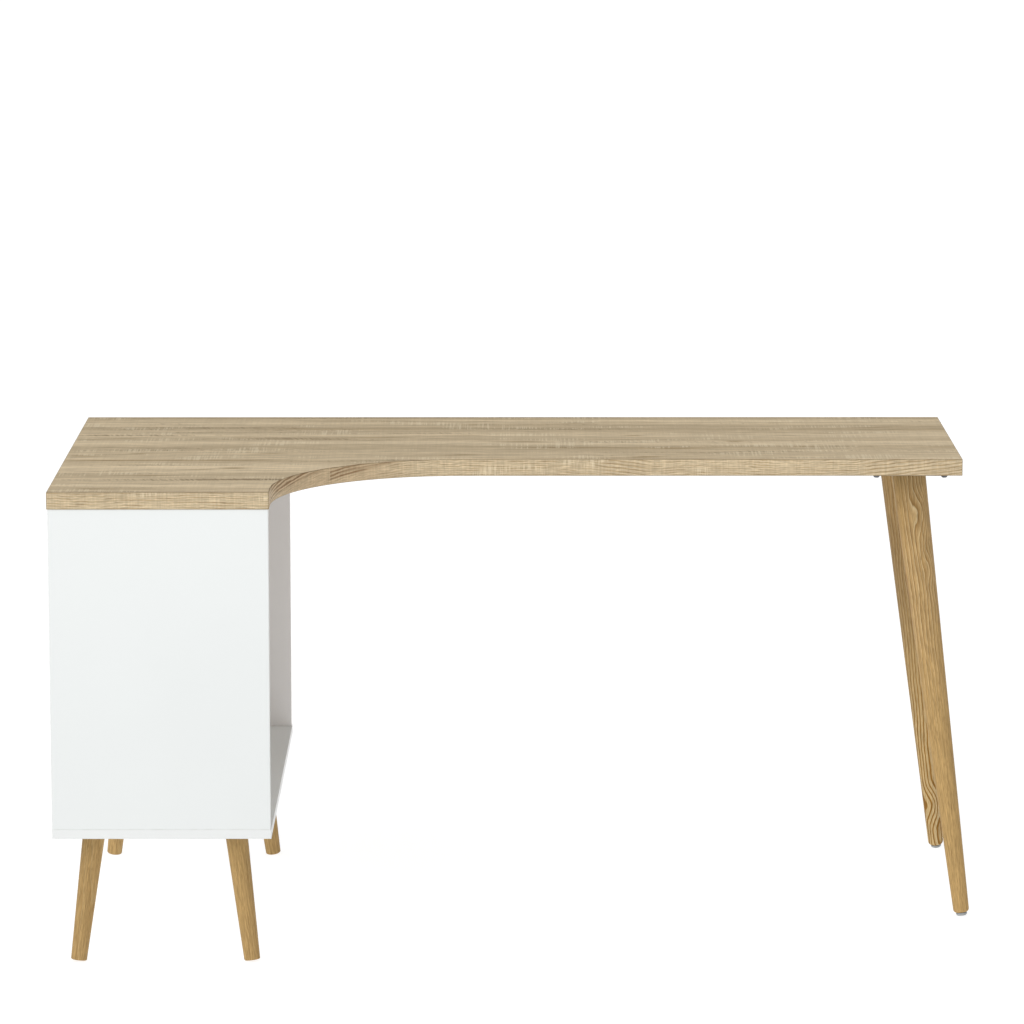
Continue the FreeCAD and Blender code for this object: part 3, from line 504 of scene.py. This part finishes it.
def worktop_path(low, high):
    """Stations round the worktop's edge: place, outward direction, and distance along the band.
    The band is cut at each outside corner, so the distance jumps there."""
    left, front, right, rear = low.x, low.y, high.x, high.y
    neck, wing_front = left + RETURN_WIDTH, rear - WING_DEPTH
    stations = []
    travelled = 0.0

    def add(x, y, angle):
        nonlocal travelled
        if stations:
            last = stations[-1]
            travelled += math.hypot(x - last[0], y - last[1])
        stations.append((x, y, angle, travelled))

    def corner(x, y, angle):
        """An outside corner with its rounded arris, turning left through a right angle."""
        for step in range(7):
            turn = math.radians(angle + 90 * step / 6)
            add(x + BAND * math.cos(turn), y + BAND * math.sin(turn), turn)

    corner(left + BAND, front + BAND, 180)
    corner(neck - BAND, front + BAND, 270)
    centre_x, centre_y = neck + CUTOUT_RADIUS, wing_front - CUTOUT_RADIUS
    steps = 72
    for step in range(steps + 1):
        turn = math.radians(180 - 90 * step / steps)
        add(
            centre_x + CUTOUT_RADIUS * math.cos(turn),
            centre_y + CUTOUT_RADIUS * math.sin(turn),
            turn + math.pi,
        )
    corner(right - BAND, wing_front + BAND, 270)
    corner(right - BAND, rear - BAND, 0)
    corner(left + BAND, rear - BAND, 90)
    add(*stations[0][:3])
    return stations


def edge_band(material):
    """The band: its eased section, carried round the worktop's edge."""
    low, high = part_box("desktop_edge_band")
    stations = worktop_path(low, high)
    top, bottom = high.z, low.z
    section = [(-BAND, bottom), (-BAND, top)]
    section += reversed(quarter(-BAND_EASE, top - BAND_EASE, BAND_EASE, 0))
    section += reversed(quarter(-BAND_EASE, bottom + BAND_EASE, BAND_EASE, 270))
    count, rows = len(section), len(stations) - 1
    points = []
    for x, y, angle, _ in stations[:-1]:
        for out, height in section:
            points.append((x + out * math.cos(angle), y + out * math.sin(angle), height))
    faces, values = [], []
    for row in range(rows):
        for k in range(count):
            after = (k + 1) % count
            corners = [(row, k), (row, after), (row + 1, after), (row + 1, k)]
            faces.append([(r % rows) * count + j for r, j in corners])
            turning = float(stations[row + 1][3] - stations[row][3] < BAND)
            values += [(stations[r][3], section[j][1] - bottom, turning) for r, j in corners]
    made = piece("worktop_edge_band", points, faces, material, "desk", values, "grain")
    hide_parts("desktop_edge_band")


def leg_frame(leg, across, deep):
    """The leg's own frame: origin where its axis meets the underside, Z up along the axis.
    across and deep are -1 or 1, the way the foot leans along X and Y."""
    low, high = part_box(leg.replace("_leg_", "_leg_plate_"))
    origin = Vector(((low.x + high.x) / 2, (low.y + high.y) / 2, high.z))
    up = Vector((-across, -deep, math.sqrt(2) / math.tan(LEAN))).normalized()
    right = (Vector((1, 0, 0)) - up * up.x).normalized()
    turn = Matrix((right, up.cross(right), up)).transposed().to_4x4()
    return Matrix.Translation(origin) @ turn, origin.z


def turned_leg(leg, across, deep, material, block):
    """A turned leg. block is (X, Y, Z, turn): where the leg lies in its timber."""
    kind = LEG_SIZES[leg.split("_")[0]]
    matrix, height = leg_frame(leg, across, deep)
    top, foot, ease, seat = kind["top"], kind["foot"], kind["ease"], -kind["seat"]
    # The rounded rim that stands on the floor is the glide's, or the foot's own.
    if kind["socket"]:
        rim, reach, below = GLIDE_DOME, GLIDE_RADIUS - GLIDE_DOME, GLIDE_HEIGHT + GLIDE_GAP
    else:
        rim, reach, below = ease, foot - ease, 0
    rise = rim * (1 - math.cos(LEAN)) + reach * math.sin(LEAN)
    bottom = below - (height - rise) / math.cos(LEAN)
    hole_end = -(HANGER_START + kind["bolt"])
    arris = 0.5 * MM
    profile = [(0, hole_end), (HANGER_RADIUS, hole_end), (HANGER_RADIUS, seat)]
    profile += reversed(quarter(top - arris, seat - arris, arris, 0, 3))
    taper = (top - foot) / (seat - bottom)
    runs = 24
    for run in range(1, runs):
        z = seat + (bottom + ease - seat) * run / runs
        profile.append((foot + taper * (z - bottom), z))
    rounded = reversed(quarter(foot - ease, bottom + ease, ease, 270, 6))
    profile += [(x + taper * (z - bottom), z) for x, z in rounded]
    if kind["socket"]:
        socket_top = bottom + kind["socket"]
        profile += [(SOCKET_RADIUS, bottom), (SOCKET_RADIUS, socket_top), (0, socket_top)]
    else:
        profile.append((0, bottom))
    steps = 72
    points, rings = [], []
    for radius, z in profile:
        if radius == 0:
            rings.append([len(points)] * steps)
            points.append((0.0, 0.0, z))
        else:
            rings.append(list(range(len(points), len(points) + steps)))
            points += [
                (radius * math.cos(2 * math.pi * k / steps), radius * math.sin(2 * math.pi * k / steps), z)
                for k in range(steps)
            ]
    faces = []
    for upper, lower in zip(rings, rings[1:]):
        for k in range(steps):
            after = (k + 1) % steps
            loop = [upper[k], lower[k], lower[after], upper[after]]
            faces.append([v for i, v in enumerate(loop) if v != loop[i - 1]])
    block_x, block_y, block_z, turn = block
    spin = Matrix.Rotation(math.radians(turn), 3, "Z")
    values = []
    for face in faces:
        for v in face:
            local = spin @ Vector(points[v])
            values.append((local.x + block_x, local.y + block_y, local.z + block_z))
    world = [tuple(matrix @ Vector(point)) for point in points]
    name = f"turned_{leg}"
    made = piece(name, world, faces, material, "desk", values, "block", smooth_up_to=40)
    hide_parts(leg)


# ---- Pieces ----

wear(worktop_laminate(), "desktop_board")
edge_band(worktop_edge())

# shade paints shadow on the rear tall leg's top under the worktop, and all over the pedestal legs.
front_finish = leg_wood("leg_wood_front", 0, (1.0, 0.12))
rear_finish = leg_wood("leg_wood_rear", 1.7, (0.9, 1.0), boldness=0.95, shade=0.32)
short_finish = leg_wood("leg_wood_short", 0, (0.25, 0.25), shade=0.1)
for leg, across, deep, material, block in (
    ("tall_leg_front", 1, -1, front_finish, (0, 0, 0, 0)),
    ("tall_leg_rear", 1, 1, rear_finish, (-0.004, 0.006, 1.7, 30)),
    ("pedestal_leg_front_left", -1, -1, short_finish, (0.004, 0.002, 3.1, 200)),
    ("pedestal_leg_front_right", 1, -1, short_finish, (0.006, 0, 4.3, 160)),
    ("pedestal_leg_rear_left", -1, 1, short_finish, (0.002, 0.004, 5.2, 20)),
    ("pedestal_leg_rear_right", 1, 1, short_finish, (0, -0.004, 6.6, 340)),
):
    turned_leg(leg, across, deep, material, block)

# Painted shade: the rear end panel's tint is darker than the other boards', for the shaded inside of the
# pedestal.
# The foot values paint light and shade towards each board's lower edge.
for board, tint_and_painted_shade, foot in (
    ("front_end_panel", rgb(243, 246, 245), 0.945), ("rear_end_panel", rgb(223, 220, 218), 1.18),
    ("bottom_board", rgb(238, 240, 239), 1.0), ("pedestal_back_panel", rgb(246, 248, 247), 0.97),
):
    wear(white_board(board, tint_and_painted_shade, foot), board)

wear(powder_coat(), *[name for name in nodes if "leg_plate" in name and "bolts" not in name])
wear(
    plated_steel("fastener_steel", rgb(112, 114, 118), rgb(84, 86, 90)),
    "pedestal_hanger_bolts", "tall_hanger_bolts", "pedestal_plate_screws", "tall_leg_plate_bolts",
    "worktop_inserts", "glide_inserts", "top_cam_bolts", "bottom_cam_bolts",
)
wear(
    plated_steel("cam_zinc", rgb(190, 191, 194), rgb(150, 151, 155), (0.38, 0.55)),
    "top_cam_locks", "bottom_cam_locks",
)
white_plastic = moulded_plastic("cap_plastic", rgb(238, 239, 238), rgb(230, 231, 230))
wear(white_plastic, "top_cam_caps", "bottom_cam_caps")
grey_plastic = moulded_plastic("glide_plastic", rgb(168, 171, 171), rgb(150, 153, 153))
wear(grey_plastic, "glide_front", "glide_rear")
wear(beech(), "top_dowels", "bottom_dowels")


# ---- Floor, light and camera ----


def floor():
    """A pale floor, lit from within a little so that it stays even. It is seen from above only."""
    look = Look("floor", roughness=0.7, specular=0.0)
    place = look.position()
    mottle = look.remap(look.noise(place, (1.5, 1.5, 1.5), detail=3.0), 0.3, 0.7)
    look.put(look.shader.inputs["Base Color"], look.mix(mottle, rgb(150, 150, 150), rgb(156, 156, 156)))
    look.put(look.shader.inputs["Emission Color"], (1, 1, 1, 1))
    look.put(look.shader.inputs["Emission Strength"], 0.85)
    below = look.node("ShaderNodeNewGeometry").outputs["Backfacing"]
    clear = look.node("ShaderNodeBsdfTransparent").outputs[0]
    seen = look.node("ShaderNodeMixShader", below, look.shader.outputs[0], clear).outputs[0]
    look.put(look.tree.nodes["Material Output"].inputs["Surface"], seen)
    size = 120
    corners = [(-size, -size, 0), (size, -size, 0), (size, size, 0), (-size, size, 0)]
    mesh = bpy.data.meshes.new("floor")
    mesh.from_pydata(corners, [], [(0, 1, 2, 3)])
    mesh.materials.append(look.material)
    made = bpy.data.objects.new("floor", mesh)
    bpy.context.scene.collection.objects.link(made)
    made.location.z = -0.0004


def lights():
    """A white studio and two soft suns, one from the front left and one from overhead."""
    world = bpy.data.worlds.new("studio")
    world.use_nodes = True
    background = world.node_tree.nodes["Background"]
    background.inputs["Color"].default_value = (1, 1, 1, 1)
    # White near the horizon, greyer overhead and to the right, so that shapes keep some modelling.
    sky = Nodes(world.node_tree)
    side, _, height = sky.split(sky.node("ShaderNodeTexCoord").outputs["Generated"])
    overhead, right = sky.remap(height, 0.04, 0.22, 1.0, 0.28), sky.remap(side, 0.2, 0.9, 1.0, 0.7)
    sky.put(background.inputs["Strength"], sky.math("MULTIPLY", overhead, right))
    bpy.context.scene.world = world
    for name, energy, angle, tilt, turn in (("key", 1.15, 40, 48, -36), ("top", 0.75, 60, 8, 20)):
        sun = bpy.data.lights.new(name, "SUN")
        sun.energy = energy
        sun.angle = math.radians(angle)
        lamp = bpy.data.objects.new(name, sun)
        lamp.rotation_euler = (math.radians(tilt), 0, math.radians(turn))
        bpy.context.scene.collection.objects.link(lamp)


def camera():
    """A long lens, well back, that looks down a little from the front."""
    seen = bpy.data.cameras.new("camera")
    seen.sensor_width = 36
    seen.lens = 176.7
    seen.clip_start, seen.clip_end = 0.1, 400
    made = bpy.data.objects.new("camera", seen)
    made.location = (-0.0279, -8.0998, 1.989)
    made.rotation_euler = (math.radians(90 - 9.348), 0, math.radians(-0.103))
    bpy.context.scene.collection.objects.link(made)
    bpy.context.scene.camera = made


floor()
lights()
camera()
bpy.context.scene.view_settings.view_transform = "Standard"

bpy.context.view_layer.update()
